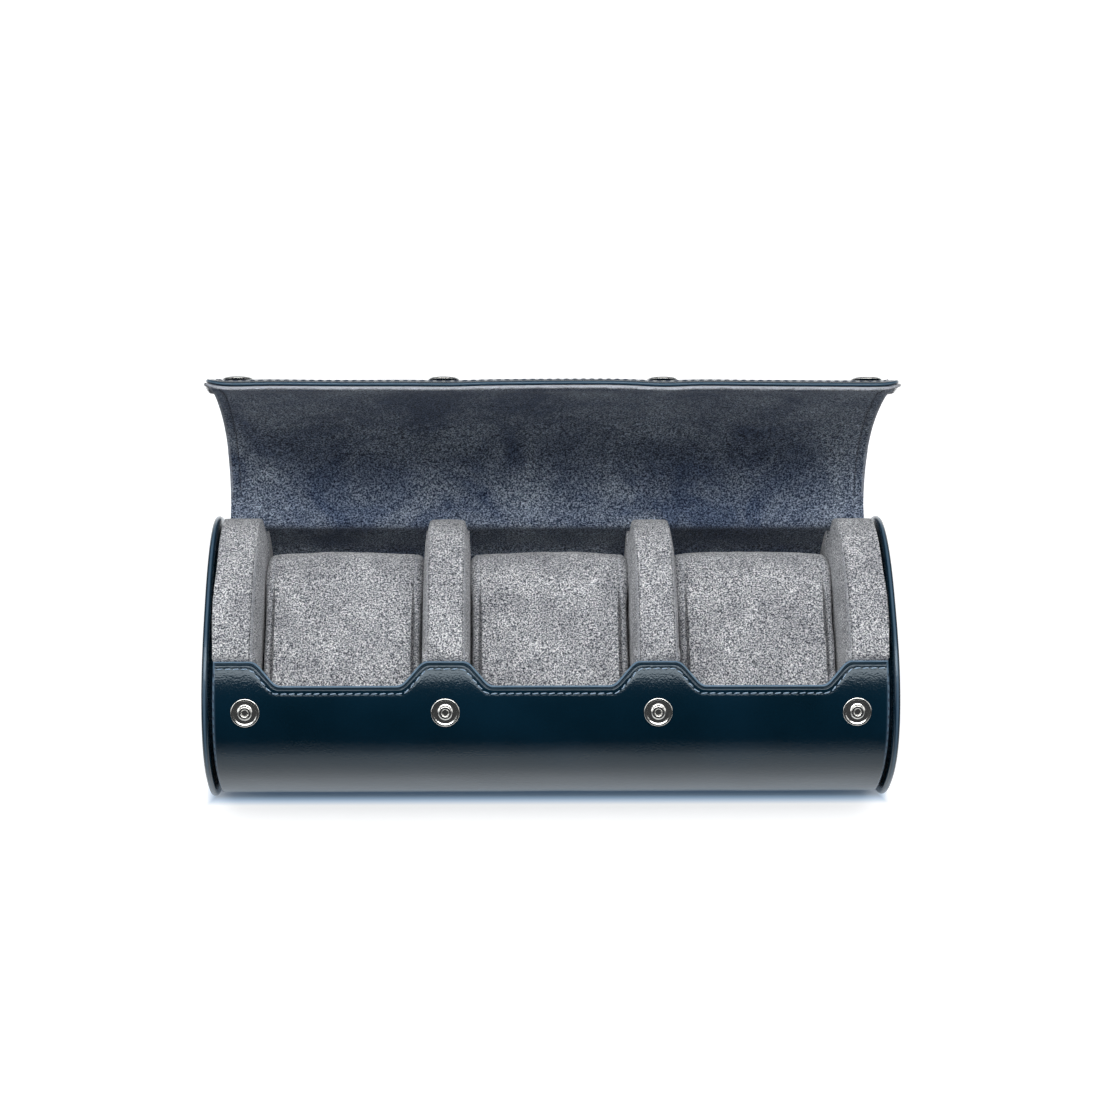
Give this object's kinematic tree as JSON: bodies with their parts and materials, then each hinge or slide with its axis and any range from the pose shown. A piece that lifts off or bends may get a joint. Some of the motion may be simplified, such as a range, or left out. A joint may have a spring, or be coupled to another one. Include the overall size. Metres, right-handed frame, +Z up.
{
  "type": "watch travel case",
  "caption": "Roll-shaped leather watch case with padded dividers, lift-out velvet pillows and a wrap-over lid that folds back and closes with snap fasteners.",
  "frame": {"origin": "on the table plane, in the flat sole of the trough, midway between the end discs and under the middle of their section", "axes": "+X along the case to the right as seen from the front, +Y to the back where the lid bends, +Z up"},
  "size_m": [0.266, 0.1324, 0.1622],
  "materials": {
    "leather": "smooth fine-grained navy leather, satin",
    "velvet": "short grey velvet nap",
    "lining": "blue-grey velvet, matte",
    "snap_metal": "polished",
    "board": "plain fibreboard",
    "foam": "plain foam"
  },
  "bodies": {
    "case": {"body_leather": "leather", "body_board": "board", "body_lining": "lining", "left_disc_leather": "leather", "left_disc_board": "board", "right_disc_leather": "leather", "right_disc_board": "board", "left_wall_velvet": "velvet", "left_wall_core": "foam", "right_wall_velvet": "velvet", "right_wall_core": "foam", "left_divider_velvet": "velvet", "left_divider_core": "foam", "right_divider_velvet": "velvet", "right_divider_core": "foam", "snap_studs": "snap_metal", "stud_rivets": "snap_metal"},
    "lid_rear": {"lid_rear_leather": "leather", "lid_rear_board": "board", "lid_rear_lining": "lining"},
    "lid_front": {"lid_front_leather": "leather", "lid_front_board": "board", "lid_front_lining": "lining"},
    "lid_strip": {"lid_strip_leather": "leather", "lid_strip_board": "board", "lid_strip_lining": "lining", "snap_caps": "snap_metal", "snap_sockets": "snap_metal"},
    "left_pillow": {"left_pillow_velvet": "velvet", "left_pillow_core": "foam"},
    "middle_pillow": {"middle_pillow_velvet": "velvet", "middle_pillow_core": "foam"},
    "right_pillow": {"right_pillow_velvet": "velvet", "right_pillow_core": "foam"}
  },
  "joints": [
    {"name": "lid_hinge", "type": "hinge", "parent": "case", "child": "lid_rear", "pos_m": [0, 0.05371, 0.05128], "axis": [-1, 0, 0], "range_deg": [-78, 60]},
    {"name": "lid_fold", "type": "hinge", "parent": "lid_rear", "child": "lid_front", "pos_m": [0, 0.07242, 0.1067], "axis": [1, 0, 0], "range_deg": [0, 80]},
    {"name": "strip_bend", "type": "hinge", "parent": "lid_front", "child": "lid_strip", "pos_m": [0, 0.06338, 0.14146], "axis": [-1, 0, 0], "range_deg": [-20, 10]},
    {"name": "left_pillow_lift", "type": "slide", "parent": "case", "child": "left_pillow", "axis": [0, 0.2924, 0.9563], "range_m": [0, 0.075]},
    {"name": "middle_pillow_lift", "type": "slide", "parent": "case", "child": "middle_pillow", "axis": [0, 0.2924, 0.9563], "range_m": [0, 0.075]},
    {"name": "right_pillow_lift", "type": "slide", "parent": "case", "child": "right_pillow", "axis": [0, 0.2924, 0.9563], "range_m": [0, 0.075]}
  ]
}
